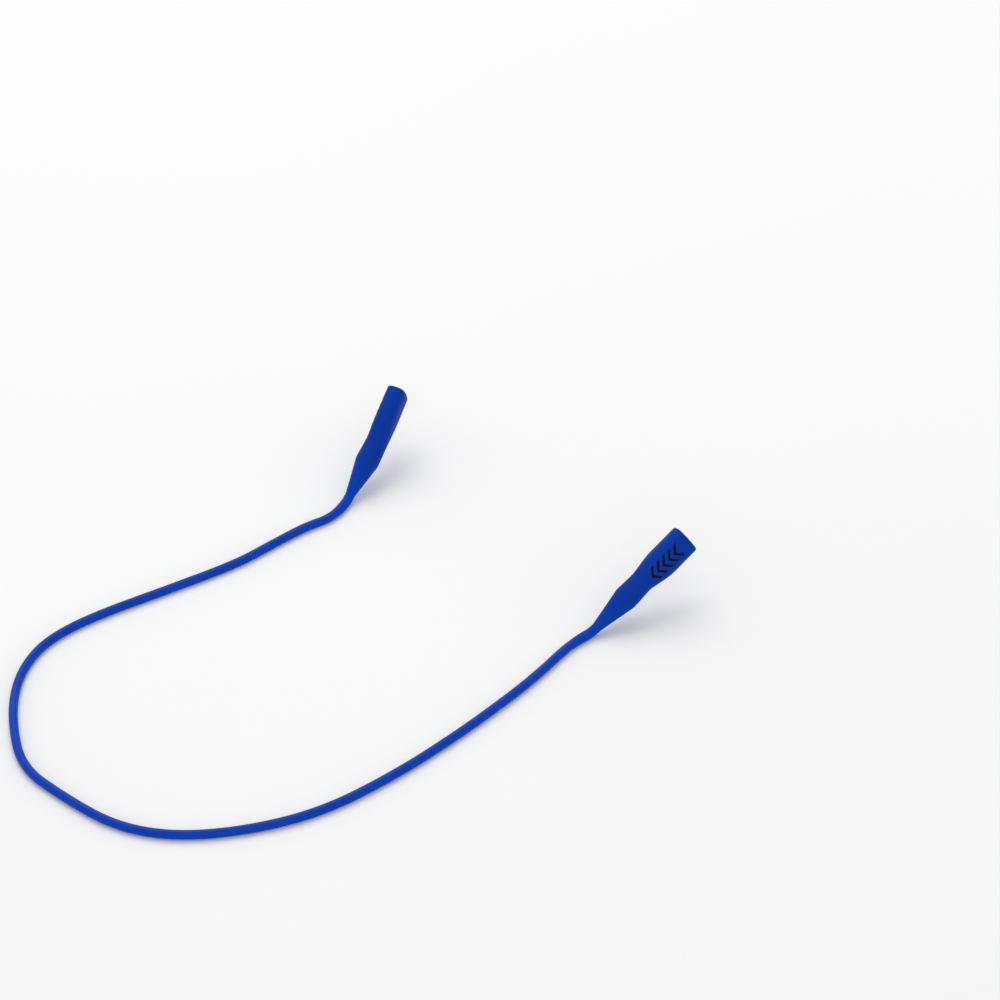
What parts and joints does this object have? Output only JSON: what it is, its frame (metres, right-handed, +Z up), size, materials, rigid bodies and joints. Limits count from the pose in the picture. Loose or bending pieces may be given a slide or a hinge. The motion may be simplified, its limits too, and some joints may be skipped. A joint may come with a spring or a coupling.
{
  "type": "eyeglasses retainer strap",
  "caption": "Moulded silicone eyeglasses retainer: thin cord with a steel core between two tapered sleeves that push onto the temple tips.",
  "frame": {"origin": "the table's surface, under the middle of the box round the two sleeves", "axes": "+X from the left sleeve to the right one, +Y from the cord towards the sleeves' mouths, +Z up from the table"},
  "size_m": [0.1203, 0.1671, 0.0206],
  "materials": {
    "cord_silicone": "satin, smooth extruded silicone",
    "sleeve_silicone": "matte moulded silicone",
    "stainless_steel": "fine stranded stainless wire",
    "ferrule_steel": "plain crimped stainless tube",
    "black_ink": "pad-printed silicone ink"
  },
  "bodies": {
    "cord": {"cord_jacket": "cord_silicone", "core_cable": "stainless_steel"},
    "left_end": {"left_sleeve": "sleeve_silicone", "left_cable_end": "stainless_steel", "left_ferrule": "ferrule_steel", "left_print": "black_ink"},
    "right_end": {"right_sleeve": "sleeve_silicone", "right_cable_end": "stainless_steel", "right_ferrule": "ferrule_steel", "right_print": "black_ink"}
  },
  "joints": [
    {"name": "left_neck_flex", "type": "hinge", "parent": "cord", "child": "left_end", "pos_m": [-0.0438, -0.018, 0.00135], "axis": [0, 0, 1], "range_deg": [-40, 40], "stiffness_Nm_per_rad": 0.005},
    {"name": "right_neck_flex", "type": "hinge", "parent": "cord", "child": "right_end", "pos_m": [0.0462, -0.018, 0.00135], "axis": [0, 0, 1], "range_deg": [-40, 40], "stiffness_Nm_per_rad": 0.005}
  ]
}
